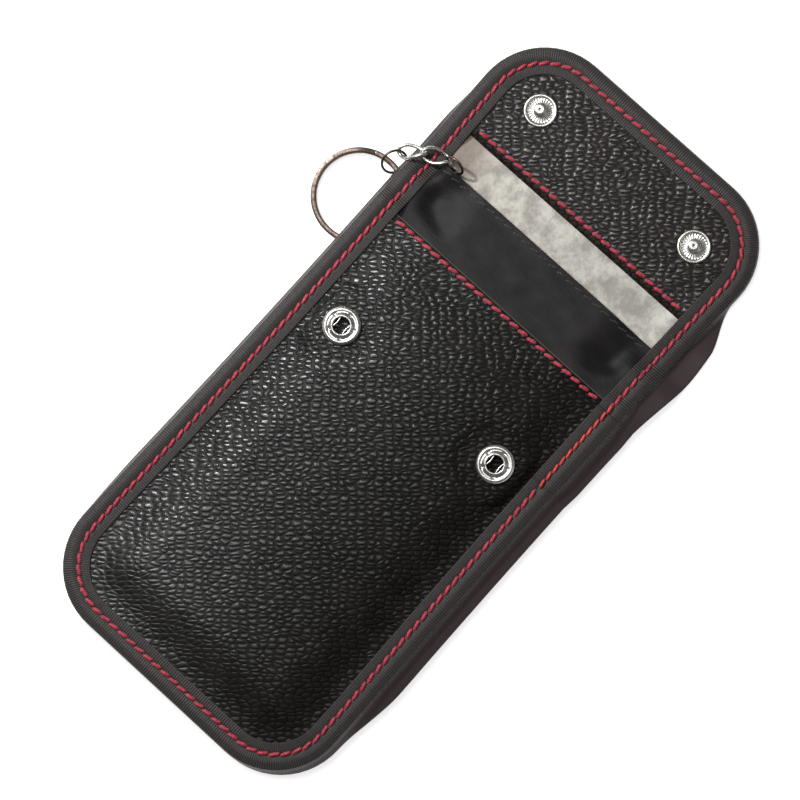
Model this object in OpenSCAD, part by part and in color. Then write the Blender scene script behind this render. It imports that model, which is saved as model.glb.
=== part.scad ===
/* [Pouch] */
// Width across the edge binding
pouch_w = 95; // [88:1:102]
// Length from end to end when laid open
pouch_l = 210; // [200:1:220]
// Outer corner radius of the binding
corner_r = 21.5; // [18:0.5:24]
// How far each side draws in at the waist
waist = 1.1; // [0:0.1:2]
// Length of the flap from the fold line to its end
flap_l = 60.4; // [59.6:0.1:61.2]
// Play between the body's and the flap's plies at the fold
fold_gap = 0.3; // [0.2:0.05:0.6]

/* [Plies] */
// Thickness of the outer leather
leather_t = 1.2; // [0.9:0.1:1.4]
// Thickness of the leather facing on the flap
facing_t = 1; // [0.7:0.1:1.2]
// Thickness of the metallised shielding cloth
shield_t = 0.25; // [0.15:0.05:0.35]
// Thickness of the satin liner
liner_t = 0.35; // [0.2:0.05:0.45]
// Thickness of the binding tape
tape_t = 0.4; // [0.3:0.05:0.5]
// Play between plies that are sewn together
ply_gap = 0.05; // [0.03:0.01:0.08]

/* [Pockets] */
// Height of the shielded pocket in the middle of the body
pocket_h = 6.2; // [6:0.05:6.4]
// Height of the shielded pocket at its mouth
mouth_h = 4.2; // [4.15:0.05:4.3]
// Play of the front pocket between the liner and the front leather
front_gap = 0.8; // [0.7:0.05:1]
// From the front leather's top edge to the fold line
front_drop = 7.4; // [7:0.2:8.6]
// From the fold line to the liner's top edge, which is the shielded pocket's mouth
mouth_run = 11.9; // [11.4:0.25:12.15]
// From the fold line to the lower edge of the flap facing
facing_run = 22.9; // [21.4:0.5:24.4]
// From a seam to the edge of its leather, on the front pocket
pocket_seam_in = 1.4; // [1.2:0.1:2]
// From a seam to the edge of its leather, on the flap facing
facing_seam_in = 2.4; // [2:0.1:3]

/* [Edge binding] */
// Width of the tape on each face
tape_w = 8; // [7:0.25:8.5]
// Distance of the stitch line from the outer edge
stitch_in = 4.8; // [4.2:0.1:5.5]
// Thickness of the sewing thread
thread_d = 0.5; // [0.4:0.05:0.6]
// How far the tape's fold leans out at its foot
lean = 0.5; // [0.3:0.1:0.8]
// From the overlapping tape's lower end to the front leather's top edge
overlap_drop = 29.2; // [26:0.2:33]
// Length of the doubled tape
overlap_l = 28; // [20:1:30]

/* [Lie on the table] */
// Height of the body's edge above the table
edge_lift = 3.6; // [3.56:0.02:3.7]
// Height of the flap's edge above the table
flap_lift = 0.5; // [0.48:0.02:0.6]

/* [Press studs] */
// Distance of each press stud from the pouch's side
snap_in = 18.9; // [17.5:0.2:21.5]
// From each stud's centre to the end of the flap
stud_in = 19.6; // [18.6:0.2:20.6]
// Diameter of a socket
socket_d = 11; // [10:0.2:11.4]
// Height of a socket above the leather
socket_h = 2; // [1.95:0.05:2.2]
// Diameter of a stud's flange
stud_d = 9.6; // [9:0.2:10.4]
// Diameter of a stud's ball
ball_d = 3.8; // [3.6:0.05:3.9]
// Height of a stud above the facing
stud_h = 3.1; // [3:0.05:3.2]
// Hole in a socket
socket_hole_d = 4.6; // [4.5:0.1:5]
// Wire of a socket's spring
spring_wire_d = 0.4; // [0.3:0.05:0.45]

/* [Chain and key ring] */
// Outer diameter of the key ring
key_ring_d = 27.2; // [25:0.2:28]
// Width of the key ring's flat wire
key_wire_w = 1.6; // [1.2:0.1:1.8]
// Height of one turn of the key ring
key_wire_t = 0.88; // [0.8:0.02:0.9]
// Wire of the chain links
link_wire_d = 1.1; // [0.9:0.05:1.15]
// Outer length of a chain link
link_l = 9.4; // [9.2:0.1:9.5]
// Outer width of a chain link
link_w = 5.4; // [5.2:0.1:5.6]
// Outer diameter of the small ring
small_ring_d = 8; // [7.8:0.1:8.2]
// Wire of the two small rings
ring_wire_d = 0.75; // [0.65:0.05:0.75]
// Outer diameter of the ring in the pocket's mouth
mouth_ring_d = 6.6; // [6.5:0.1:6.7]

/* [Hidden] */
$fn = 64;

// plan outline
end_y = pouch_l / 2;
half_w = pouch_w / 2;
corner_y = end_y - corner_r;
fold_y = end_y - flap_l;
front_top_y = fold_y - front_drop;
mouth_y = fold_y + mouth_run;
facing_y = fold_y + facing_run;
snap_x = half_w - snap_in;
nose = 0.8;
edge_in = tape_t + nose;
body_end_y = fold_y - fold_gap / 2;
flap_end_y = fold_y + fold_gap / 2;
stud_y = end_y - stud_in;
socket_y = 2 * fold_y - stud_y;
overlap_low_y = front_top_y - overlap_drop;
waist_y = 12;
waist_reach = end_y - 19;

// how the plies rise from the seam
seam_w = tape_w;
rise_in = 9;
body_rise = 16;
flap_rise = 8;
lift_flat = 11;
lift_fade = 15;
flap_fade = 6;
lift_low_y = fold_y + 2.9;
lift_high_y = fold_y + 10.4;
soft_low_y = fold_y - 6.6;
slope_low_y = fold_y - 36.6;
slope_l = 26;
close_low_y = fold_y - 24.6;
close_l = 14;
stack_step = 5;
snap_flat = 9;
snap_blend = 4;
stud_gap = 0.6;
snap_play = 0.15;
flange_h = 0.8;

function s(t) = let(c = min(1, max(0, t))) c * c * (3 - 2 * c);
function mix(a, b, t) = a + (b - a) * t;
function rows(a, b, n) = [for (i = [0 : n]) mix(a, b, i / n)];

// half width of the outline at a place along the length, drawn in by an inset
function side_half(y) =
  half_w - waist * (1 - min(1, pow((y - waist_y) / waist_reach, 2)));
function half_at(y, inset) =
  let(past = abs(y) - corner_y, r = corner_r - inset)
  past <= 0 ? side_half(y) - inset
  : side_half(y) - corner_r + sqrt(max(0, r * r - past * past));
// distance of a point from the outer edge
function edge_d(x, y) =
  let(qx = abs(x) - side_half(y) + corner_r, qy = abs(y) - corner_y)
  corner_r - norm([max(qx, 0), max(qy, 0)]) - min(max(qx, qy), 0);

// underside of the outer leather
function on_flap(y) = s((y - soft_low_y) / 8);
function body_lift(x, y) =
  (edge_lift - flap_lift) * (1 - s((y - lift_low_y) / (lift_high_y - lift_low_y)))
  * (1 - s((edge_d(x, y) - mix(lift_flat, seam_w, on_flap(y))) / mix(lift_fade, flap_fade, on_flap(y))));
function base_z(x, y) = body_lift(x, y) + flap_lift * (1 - s((edge_d(x, y) - seam_w) / flap_fade));
back_ply = leather_t + ply_gap + shield_t;
roof_ply = shield_t + ply_gap + liner_t;
function floor_z(x, y) = base_z(x, y) + back_ply;

// underside of the pocket's front wall
ring_x = 12 - half_w;
ring_bump = 4.4;
function ring_room(x, y) =
  ring_bump * s((edge_d(x, y) - seam_w) / 1.3)
  * exp(-pow((x - ring_x) / 5.5, 2) - pow((y - mouth_y) / 5, 2));
function plain_roof_z(x, y) =
  floor_z(x, y) + ply_gap + ring_room(x, y)
  + mix(pocket_h, mouth_h, s((y - slope_low_y) / slope_l)) * s((edge_d(x, y) - rise_in) / body_rise);
function near_snap(x, y, snap_y) =
  (1 - s((norm([abs(x) - snap_x, y - snap_y]) - snap_flat) / snap_blend))
  * s((edge_d(x, y) - rise_in) / 2);
socket_roof_z = plain_roof_z(snap_x, socket_y);
function roof_z(x, y) =
  mix(plain_roof_z(x, y), socket_roof_z, near_snap(x, y, socket_y));
function liner_top_z(x, y) = roof_z(x, y) + roof_ply;
function plain_front_gap(x, y) =
  ply_gap + (front_gap - ply_gap) * s((edge_d(x, y) - rise_in) / 10) * (1 - s((y - close_low_y) / close_l));
function front_z(x, y) =
  liner_top_z(x, y) + mix(plain_front_gap(x, y), front_gap, near_snap(x, y, socket_y));
socket_base_z = socket_roof_z + roof_ply + front_gap + leather_t;
socket_top_z = socket_base_z + socket_h;

// underside of the flap facing
function plain_facing_z(x, y) =
  floor_z(x, y) + ply_gap
  + (stud_gap - ply_gap) * s((edge_d(x, y) - rise_in) / flap_rise) * s((y - facing_y) / flap_rise);
stud_facing_z = plain_facing_z(snap_x, stud_y);
function facing_z(x, y) =
  mix(plain_facing_z(x, y), stud_facing_z, near_snap(x, y, stud_y));
stud_base_z = stud_facing_z + facing_t;

// the flap turns about a line that lets its facing come down on the sockets
hinge_z = (socket_top_z + flange_h + snap_play + stud_base_z) / 2;

// height of the sewn plies along the edge
function stack_t(y) =
  back_ply + ply_gap + roof_ply + ply_gap + leather_t
  - (leather_t + ply_gap) * s((y - front_top_y - fold_gap) / stack_step)
  - (roof_ply + ply_gap) * s((y - mouth_y - fold_gap) / stack_step)
  + (facing_t + ply_gap) * s((y - facing_y + stack_step + fold_gap) / stack_step);

// rows and columns of the plies
columns = [0, 0.26, 0.48, 0.62, 0.74, 0.815, 0.85, 1];
spread = concat([for (i = [len(columns) - 1 : -1 : 1]) -columns[i]], columns);
end_steps = [edge_in, 2.6, 5, 8.2, 12.5];
function corner_rows(side) = [for (d = side > 0 ? backward(end_steps) : end_steps) side * (end_y - d)];
snap_rows = [socket_y - 6, socket_y, socket_y + 6];
front_rows = concat(corner_rows(-1), rows(-corner_y, socket_y - 23.8, 4), snap_rows, rows(socket_y + 15.2, front_top_y, 2));
body_rows = concat(front_rows, rows(mix(front_top_y, body_end_y, 0.5), body_end_y, 1));
mouth_rows = rows(flap_end_y, mouth_y, 4);
strip_rows = rows(mix(mouth_y, facing_y, 0.5), facing_y, 1);
facing_tail = concat(rows(facing_y + 5, corner_y, 2), corner_rows(1));
flap_rows = concat(mouth_rows, strip_rows, facing_tail);
facing_rows = concat([facing_y], facing_tail);

// a closed ply over the given rows, from its lower face and its thickness
module ply(rows, low, t) {
  n = len(spread);
  m = len(rows);
  lower = [for (y = rows, u = spread) let(x = u * half_at(y, edge_in)) [x, y, low(x, y)]];
  upper = [for (p = lower) p + [0, 0, t]];
  top = n * m;
  faces = concat(
    [for (j = [0 : m - 2], i = [0 : n - 2], k = [0, 1])
      let(a = top + j * n + i) k == 0 ? [a, a + n, a + n + 1] : [a, a + n + 1, a + 1]],
    [for (j = [0 : m - 2], i = [0 : n - 2], k = [0, 1])
      let(a = j * n + i) k == 0 ? [a, a + n + 1, a + n] : [a, a + 1, a + n + 1]],
    [for (j = [0 : m - 2], k = [0, 1])
      let(a = j * n, b = a + n) k == 0 ? [a, b, b + top] : [a, b + top, a + top]],
    [for (j = [0 : m - 2], k = [0, 1])
      let(a = j * n + n - 1, b = a + n) k == 0 ? [a, b + top, b] : [a, a + top, b + top]],
    [for (i = [0 : n - 2], k = [0, 1])
      k == 0 ? [i, i + 1 + top, i + 1] : [i, i + top, i + 1 + top]],
    [for (i = [0 : n - 2], k = [0, 1])
      let(a = (m - 1) * n + i) k == 0 ? [a, a + 1, a + 1 + top] : [a, a + 1 + top, a + top]]
  );
  polyhedron(concat(lower, upper), faces, convexity = 6);
}

// a closed tube through rings of points that all have the same count; a folded strip's rings
// run out along one face and back along the other, so its ends are closed across the strip
module loft(rings, closed = false, strip = false) {
  n = len(rings[0]);
  m = len(rings);
  cap = strip
    ? [for (i = [1 : n / 2 - 1], k = [0, 1])
        let(q = (n + 1 - i) % n) k == 0 ? [q, i, i + 1] : [q, i + 1, n - i]]
    : [for (i = [1 : n - 2]) [0, i, i + 1]];
  sides = [for (j = [0 : m - (closed ? 1 : 2)], i = [0 : n - 1], k = [0, 1])
    let(a = j * n, b = ((j + 1) % m) * n, i2 = (i + 1) % n)
    k == 0 ? [a + i, b + i, b + i2] : [a + i, b + i2, a + i2]];
  ends = closed ? [] : concat(cap, [for (f = cap) [for (k = [2, 1, 0]) f[k] + (m - 1) * n]]);
  polyhedron([for (r = rings, p = r) p], concat(sides, ends), convexity = 8);
}

// stations along the outline: a point on the outer edge and the outward direction
side_steps = [0, 0.1, 0.2, 0.32, 0.45, 0.6, 0.78, 1];
function side_station(y, side) = [[side * side_half(y), y], [side, 0]];
function corner_station(side, end, a) =
  [[side * (side_half(end * corner_y) - corner_r + corner_r * cos(a)),
    end * (corner_y + corner_r * sin(a))], [side * cos(a), end * sin(a)]];
function half_loop(ys, side, end) = concat(
  [for (y = ys) side_station(y, side)],
  [for (i = [1 : 6]) corner_station(side, end, 90 * i / 6)]);
function backward(list) = [for (i = [len(list) - 1 : -1 : 0]) list[i]];
function whole_loop(ys, end) =
  concat(half_loop(ys, end, end), backward(half_loop(ys, -end, end)));
flap_ys = concat(rows(flap_end_y, mouth_y, 4), rows(mouth_y + 2.5, facing_y, 3), [facing_y + 5.5, corner_y]);
body_ys = concat([body_end_y, fold_y - 2.6, fold_y - 5.6, front_top_y],
  [for (k = side_steps) mix(front_top_y - 4.2, -corner_y, k)]);

// how far the binding's fold leans out at its foot: more on the right, none at the flap's end
right_lean = 1.3;
lean_end_y = fold_y + 17.4;
function lean_at(st) =
  abs(st[1][0]) * (lean + (st[0][0] > 0 ? right_lean : 0)) * (1 - s((st[0][1] - lean_end_y) / 16));

// section of the binding at a station, grown outward by one more ply of tape
function tape_ring(st, grow) =
  let(p = st[0], o = st[1], z = base_z(p[0], p[1]), h = stack_t(p[1]), g = ply_gap + grow,
      f = lean_at(st), t = tape_t, e = edge_in, w = tape_w)
  [for (q = [
    [-w, h + g], [-w, h + g + t], [-e, h + g + t], [-0.35 * e + grow, h + g + t * 0.6],
    [grow, h * 0.62], [f * 0.6 + grow, h * 0.3], [f + grow, 0.25],
    [f * 0.7 - 0.2 * e + grow, -g - t * 0.75], [-e, -g - t], [-w, -g - t],
    [-w, -g], [-e, -g], [f * 0.7 - 0.2 * e + grow - 0.6 * t, -g + 0.1 * t],
    [f - t + grow, 0.3], [f * 0.6 - t + grow, h * 0.32],
    [grow - t, h * 0.6], [-0.35 * e - t * 0.6 + grow, h + g - t * 0.2], [-e, h + g]
  ]) [p[0] + o[0] * q[0], p[1] + o[1] * q[0], z + q[1]]];

// a round thread through points, laid on the surface below it
function thread_ring(a, b, p, r, n) =
  let(d = (b - a) / norm(b - a), side = cross(d, [0, 0, 1]), up = cross(side, d))
  [for (i = [0 : n - 1]) p + r * (cos(360 * i / n) * side / norm(side) + sin(360 * i / n) * up / norm(up))];
module thread(points, r, n = 5) {
  m = len(points);
  loft([for (j = [0 : m - 1])
    thread_ring(points[max(0, j - 1)], points[min(m - 1, j + 1)], points[j], r, n)]);
}
thread_r = thread_d / 2;
mouth_seam_in = 1.5;
function on_tape(st) =
  let(x = st[0][0] - st[1][0] * stitch_in, y = st[0][1] - st[1][1] * stitch_in,
      over = x > 0 ? s((y - overlap_low_y + 3) / 3) * (1 - s((y - overlap_low_y - overlap_l) / 3)) : 0)
  [x, y, base_z(x, y) + stack_t(st[0][1]) + ply_gap * 2 + tape_t * (1 + over) + over * ply_gap + thread_r];
seam_half = half_w - tape_w - waist - 1.5;
function seam_xs() = rows(-seam_half, seam_half, 16);

module back_panel() { color("#26241f") ply(body_rows, function(x, y) base_z(x, y), leather_t); }
module back_shield() {
  color("#c9c5bb") ply(body_rows, function(x, y) base_z(x, y) + leather_t + ply_gap, shield_t);
}
module front_shield() { color("#c9c5bb") ply(body_rows, function(x, y) roof_z(x, y), shield_t); }
module inner_liner() {
  color("#1b191b") ply(body_rows, function(x, y) roof_z(x, y) + shield_t + ply_gap, liner_t);
}
module front_panel() {
  color("#2b2a26") difference() {
    ply(front_rows, function(x, y) front_z(x, y), leather_t);
    for (side = [-1, 1]) translate([side * snap_x, socket_y, socket_base_z - leather_t - 1])
      cylinder(r = post_r + ply_gap, h = leather_t + 2);
  }
}
module body_binding() {
  color("#1e1b1a") loft([for (st = whole_loop(body_ys, -1)) tape_ring(st, 0)], strip = true);
}
module binding_overlap() {
  color("#1e1b1a") loft([for (y = rows(overlap_low_y, overlap_low_y + overlap_l - 1, 6))
    tape_ring(side_station(y, 1), tape_t + ply_gap)], strip = true);
}
module body_binding_stitch() {
  color("#c8303f") thread([for (st = whole_loop(body_ys, -1)) on_tape(st)], thread_r);
}
module pocket_stitch() {
  y = front_top_y - pocket_seam_in;
  color("#c8303f")
    thread([for (x = seam_xs()) [x, y, front_z(x, y) + leather_t + ply_gap * 2 + thread_r]], thread_r);
}

module flap_panel() { color("#26241f") ply(flap_rows, function(x, y) base_z(x, y), leather_t); }
module flap_shield() {
  color("#c9c5bb") ply(flap_rows, function(x, y) base_z(x, y) + leather_t + ply_gap, shield_t);
}
module mouth_shield() { color("#c9c5bb") ply(mouth_rows, function(x, y) roof_z(x, y), shield_t); }
module mouth_liner() {
  color("#1b191b") ply(mouth_rows, function(x, y) roof_z(x, y) + shield_t + ply_gap, liner_t);
}
module flap_facing() {
  color("#2b2a26") difference() {
    ply(facing_rows, function(x, y) facing_z(x, y), facing_t);
    for (side = [-1, 1]) translate([side * snap_x, stud_y, stud_base_z - facing_t - 1])
      cylinder(r = stud_post_r + ply_gap, h = facing_t + 2);
  }
}
module flap_binding() {
  color("#1e1b1a") loft([for (st = whole_loop(flap_ys, 1)) tape_ring(st, 0)], strip = true);
}
module flap_binding_stitch() {
  color("#c8303f") thread([for (st = whole_loop(flap_ys, 1)) on_tape(st)], thread_r);
}
module facing_stitch() {
  y = facing_y + facing_seam_in;
  color("#c8303f")
    thread([for (x = seam_xs()) [x, y, facing_z(x, y) + facing_t + ply_gap * 2 + thread_r]], thread_r);
}
module mouth_stitch() {
  y = mouth_y - mouth_seam_in;
  color("#101010") thread([for (x = seam_xs()) [x, y, liner_top_z(x, y) + ply_gap * 2 + thread_r * 0.6]],
    thread_r * 0.6, 4);
}

// press studs
post_r = socket_hole_d / 2 + 0.35;
stud_post_r = 1.5;
cap_t = 0.4;
ball_r = ball_d / 2;
neck_r = ball_r - 0.55;
spring_x = neck_r + spring_wire_d / 2 + 0.2;
spring_depth = 0.75;
module at_snap(side, y, z) { translate([side * snap_x, y, z]) children(); }
module socket(side) {
  r = socket_d / 2;
  hole = socket_hole_d / 2;
  slot = spring_wire_d + 0.3;
  color("#c9c9c6") at_snap(side, socket_y, socket_base_z) difference() {
    rotate_extrude() {
      polygon([[hole, -leather_t - ply_gap], [post_r, -leather_t - ply_gap], [post_r, ply_gap],
        [r - 0.5, ply_gap], [r, 0.35], [r - 0.15, 0.95], [r - 0.9, socket_h - 0.45],
        [r - 1.7, socket_h - 0.7], [hole + 1, socket_h - 0.35], [hole + 0.45, socket_h],
        [hole, socket_h - 0.2]]);
      translate([r - 0.85, socket_h - 0.62]) circle(r = 0.4);
    }
    translate([-hole - 1, -hole - 0.1, socket_h - spring_depth - slot / 2])
      cube([2 * hole + 2, 2 * hole + 0.2, slot]);
    for (i = [0 : 4]) rotate(72 * i + 18) translate([r - 2.1, 0, socket_h + 0.35]) sphere(r = 0.75);
  }
}
module socket_spring(side) {
  reach = socket_hole_d / 2;
  color("#d8d8d4") at_snap(side, socket_y, socket_base_z + socket_h - spring_depth)
    for (k = [-1, 1]) translate([k * spring_x, reach, 0]) rotate([90, 0, 0])
      cylinder(d = spring_wire_d, h = 2 * reach);
}
module socket_cap(side) {
  color("#b9b9b4") at_snap(side, socket_y, socket_base_z - leather_t - ply_gap * 2 - cap_t)
    difference() {
      cylinder(r = socket_d / 2 - 1, h = cap_t);
      translate([0, 0, -1]) cylinder(r = socket_hole_d / 2, h = cap_t + 2);
    }
}
module stud(side) {
  r = stud_d / 2;
  color("#cdcdca") at_snap(side, stud_y, stud_base_z) {
    rotate_extrude() polygon([[0, ply_gap], [r - 0.4, ply_gap], [r, 0.3], [r - 0.1, 0.62],
      [r - 0.45, flange_h], [r - 0.95, 0.66], [r - 1.25, 0.42], [neck_r + 0.9, 0.55],
      [neck_r + 0.3, flange_h], [neck_r, 1.1], [neck_r, stud_h - 1.15], [ball_r - 0.08, stud_h - 0.85],
      [ball_r, stud_h - 0.6], [ball_r - 0.2, stud_h - 0.25], [ball_r - 0.75, stud_h - 0.02],
      [ball_r - 1.2, stud_h], [0, stud_h - 0.1]]);
    for (i = [0 : 23]) rotate(15 * i) translate([neck_r + 1, -0.14, 0.3]) cube([r - neck_r - 2, 0.28, 0.36]);
  }
}
module stud_post(side) {
  color("#b9b9b4") at_snap(side, stud_y, stud_base_z - facing_t - ply_gap - cap_t) {
    cylinder(r = stud_d / 2 - 1.2, h = cap_t);
    cylinder(r = stud_post_r, h = cap_t + facing_t + ply_gap);
  }
}
module socket_left() { socket(-1); }
module socket_right() { socket(1); }
module socket_spring_left() { socket_spring(-1); }
module socket_spring_right() { socket_spring(1); }
module socket_cap_left() { socket_cap(-1); }
module socket_cap_right() { socket_cap(1); }
module stud_left() { stud(-1); }
module stud_right() { stud(1); }
module stud_post_left() { stud_post(-1); }
module stud_post_right() { stud_post(1); }

// chain: each link runs from one end to the other and is twisted by a quarter turn
chain_at = [-half_w, mouth_y, 0];
mouth_ring_at = chain_at + [11.61, 1.46, 5.21];
mouth_ring_turn = [66, -3, 0];
inner_link_at = chain_at + [6.05, -0.03, 5.3];
inner_link_turn = [-12.7, 7.9, 28.1];
outer_link_at = chain_at + [0.23, -3.59, 4.97];
outer_link_turn = [-27.1, -17.8, 32];
small_ring_at = chain_at + [-2.06, -8.77, 3.02];
small_ring_turn = [13.7, 44.7, 0];
mouth_ring_r = (mouth_ring_d - ring_wire_d) / 2;
small_ring_r = (small_ring_d - ring_wire_d) / 2;
link_r = link_wire_d / 2;
link_a = link_l / 2 - link_r;
link_b = link_w / 2 - link_r;
module twisted_link(at, turn) {
  n = 24;
  function on(u) = let(roll = -45 * cos(u))
    [link_a * cos(u), link_b * sin(u) * cos(roll), link_b * sin(u) * sin(roll)];
  translate(at) rotate(turn) loft([for (j = [0 : n - 1])
    let(p = on(360 * j / n), d = on(360 * (j + 0.5) / n) - on(360 * (j - 0.5) / n),
        e = d / norm(d), w = cross(e, [0, 0, 1]), v = w / norm(w), k = cross(v, e))
    [for (i = [0 : 7]) p + link_r * (cos(45 * i) * v + sin(45 * i) * k)]], closed = true);
}
module torus(mean_r, wire_r) {
  rotate_extrude() translate([mean_r, 0]) circle(r = wire_r, $fn = 24);
}
module mouth_ring() {
  color("#8d8578") translate(mouth_ring_at) rotate(mouth_ring_turn) torus(mouth_ring_r, ring_wire_d / 2);
}
module chain_link_inner() { color("#c4c4c0") twisted_link(inner_link_at, inner_link_turn); }
module chain_link_outer() { color("#c4c4c0") twisted_link(outer_link_at, outer_link_turn); }
module small_ring() {
  color("#9a958b") translate(small_ring_at) rotate(small_ring_turn) torus(small_ring_r, ring_wire_d / 2);
}

// a ribbon eye round the mouth ring's wire, with its foot sewn down inside the mouth
ribbon_w = 1.5;
ribbon_t = 0.15;
ribbon_play = 0.14;
module ribbon_loop() {
  lean_x = mouth_ring_turn[0];
  turn_y = mouth_ring_turn[1];
  eye = mouth_ring_at - mouth_ring_r * [sin(lean_x) * sin(turn_y), cos(lean_x), sin(lean_x) * cos(turn_y)];
  inner_r = ring_wire_d / 2 + ribbon_play;
  foot_l = 1.2;
  foot_z = floor_z(eye[0] - ribbon_w / 2, eye[1] - foot_l / 2) + ply_gap * 2;
  color("#1b191b") difference() {
    union() {
      translate(eye) rotate([0, turn_y, 0]) rotate([90, 0, 90])
        cylinder(r = inner_r + ribbon_t, h = ribbon_w, center = true);
      translate([eye[0] - ribbon_w / 2, eye[1] - foot_l, foot_z]) cube([ribbon_w, foot_l, ribbon_t]);
      translate([eye[0] - ribbon_w / 2, eye[1] - ribbon_t / 2, foot_z])
        cube([ribbon_w, ribbon_t, max(ribbon_t, eye[2] - inner_r - foot_z)]);
    }
    translate(mouth_ring_at) rotate(mouth_ring_turn) torus(mouth_ring_r, inner_r);
  }
}

// two turns of flat wire, with one step between them; the ring leans on the small ring's wire
key_ring_x = chain_at[0] - 3.2;
key_ring_y = chain_at[1] - 22.4;
key_ring_lean = 2.65;
key_ring_high_side = 120;
module split_key_ring() {
  n = 60;
  mean = (key_ring_d - key_wire_w) / 2;
  step = key_wire_t + 0.04;
  gap_a = 8;
  mid_z = 0.01 + (step + key_wire_t) / 2 + key_ring_d / 2 * sin(key_ring_lean);
  color("#a9a39a") translate([key_ring_x, key_ring_y, mid_z])
    rotate(a = key_ring_lean, v = [sin(key_ring_high_side), -cos(key_ring_high_side), 0])
    translate([0, 0, -(step + key_wire_t) / 2]) loft([for (j = [0 : n])
      let(a = gap_a + (720 - 2 * gap_a) * j / n, z = step * s((a - 345) / 30),
          r1 = mean - key_wire_w / 2, r2 = mean + key_wire_w / 2, c = cos(a + 120), k = sin(a + 120))
      [[r1 * c, r1 * k, z], [r1 * c, r1 * k, z + key_wire_t],
       [r2 * c, r2 * k, z + key_wire_t], [r2 * c, r2 * k, z]]]);
}

back_panel();
back_shield();
front_shield();
inner_liner();
front_panel();
body_binding();
binding_overlap();
body_binding_stitch();
pocket_stitch();
socket_left();
socket_right();
socket_spring_left();
socket_spring_right();
socket_cap_left();
socket_cap_right();
flap_panel();
flap_shield();
mouth_shield();
mouth_liner();
flap_facing();
flap_binding();
flap_binding_stitch();
facing_stitch();
mouth_stitch();
stud_left();
stud_right();
stud_post_left();
stud_post_right();
ribbon_loop();
mouth_ring();
chain_link_inner();
chain_link_outer();
small_ring();
split_key_ring();
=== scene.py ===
import math

import bpy
import numpy as np
from mathutils import Matrix, Vector


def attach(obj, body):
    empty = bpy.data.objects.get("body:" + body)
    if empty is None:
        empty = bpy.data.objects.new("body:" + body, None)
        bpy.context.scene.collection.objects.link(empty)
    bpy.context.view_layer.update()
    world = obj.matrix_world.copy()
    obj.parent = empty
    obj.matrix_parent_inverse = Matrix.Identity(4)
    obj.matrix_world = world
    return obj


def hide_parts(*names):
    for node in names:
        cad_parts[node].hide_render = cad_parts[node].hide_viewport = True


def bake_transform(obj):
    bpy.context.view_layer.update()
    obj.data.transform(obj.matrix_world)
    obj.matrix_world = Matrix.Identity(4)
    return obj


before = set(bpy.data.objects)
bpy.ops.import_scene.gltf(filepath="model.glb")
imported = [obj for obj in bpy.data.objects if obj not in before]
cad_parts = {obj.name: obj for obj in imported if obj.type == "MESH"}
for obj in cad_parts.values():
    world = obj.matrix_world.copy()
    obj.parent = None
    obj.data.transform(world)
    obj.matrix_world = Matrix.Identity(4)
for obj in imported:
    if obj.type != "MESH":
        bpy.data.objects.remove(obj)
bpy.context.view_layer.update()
mm = 0.001

# sizes in millimetres, as in the part's source
pouch = dict(halfWidth=47.5, endY=105.0, cornerR=21.5, waist=1.1, waistY=12.0, waistReach=86.0)
ply = dict(leather=1.2, facing=1.0, shield=0.25, liner=0.35, tape=0.4, gap=0.05)
edge = dict(frontTop=37.2, mouth=56.5, facing=67.5, plyInset=1.2)
snap = dict(x=28.6, socketY=3.8, studY=85.4, hole=4.6, socketD=11.0, studD=9.6, ballD=3.8)
cornerY = pouch["endY"] - pouch["cornerR"]


# looks down on the pouch, turned so that its flap points to the lower right of the picture
view = dict(turn=42.1, tilt=6.0, distance=900.0, lens=146.0, target=(-3.4, -0.6, 4.0))
turn, tilt = math.radians(view["turn"]), math.radians(view["tilt"])
rightWay = Vector((math.cos(turn) * math.cos(tilt), math.sin(turn), -math.cos(turn) * math.sin(tilt)))
upWay = Vector((-math.sin(turn) * math.cos(tilt), math.cos(turn), math.sin(turn) * math.sin(tilt)))
backWay = rightWay.cross(upWay).normalized()
camera = bpy.data.objects.new("camera", bpy.data.cameras.new("camera"))
bpy.context.collection.objects.link(camera)
camera.data.lens, camera.data.sensor_width = view["lens"], 36
camera.data.clip_start, camera.data.clip_end = 0.01, 20
spot = Vector(view["target"]) * mm + backWay * view["distance"] * mm
camera.matrix_world = Matrix.Translation(spot) @ Matrix((rightWay, upWay, backWay)).transposed().to_4x4()
bpy.context.scene.camera = camera
bpy.context.scene.view_settings.view_transform = "Standard"
print("camera set")


# heights of the plies, worked out for whole arrays of points: each rise has a height, the place where it
# starts and the reach over which it eases in; easeFrom and easeOver are along the length
edgeLift = dict(body=3.1, flap=0.5, easeFrom=38, easeOver=8, endFrom=47.5, endOver=7.5, start=(11, 8),
                reach=(15, 6), flapStart=8, flapReach=6)
room = dict(body=6.2, mouth=4.2, easeFrom=8, easeOver=26, start=9, reach=16)
ringHump = dict(height=4.4, x=-35.5, halfWide=5.5, halfLong=5.0, start=8, reach=1.3)
snapFlat = dict(radius=9, ease=4, start=9, reach=2)
frontGap = dict(height=0.75, atSnap=0.8, start=9, reach=10, easeFrom=20, easeOver=14)
facingGap = dict(height=0.55, start=9, reach=8, easeOver=8)
stack = dict(body=3.45, steps=((-1.25, 37.5), (-0.7, 56.8), (1.05, 62.2)), easeOver=5)


def smooth(t):  # 3t^2 - 2t^3, held at 0 and 1 outside
    c = np.clip(t, 0, 1)
    return c * c * (3 - 2 * c)


def mix(a, b, t):  # a at 0, b at 1
    return a + (b - a) * t


def sideHalf(y):  # half width, drawn in by a parabola round the waist
    reach = np.minimum(1, ((y - pouch["waistY"]) / pouch["waistReach"]) ** 2)
    return pouch["halfWidth"] - pouch["waist"] * (1 - reach)


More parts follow.
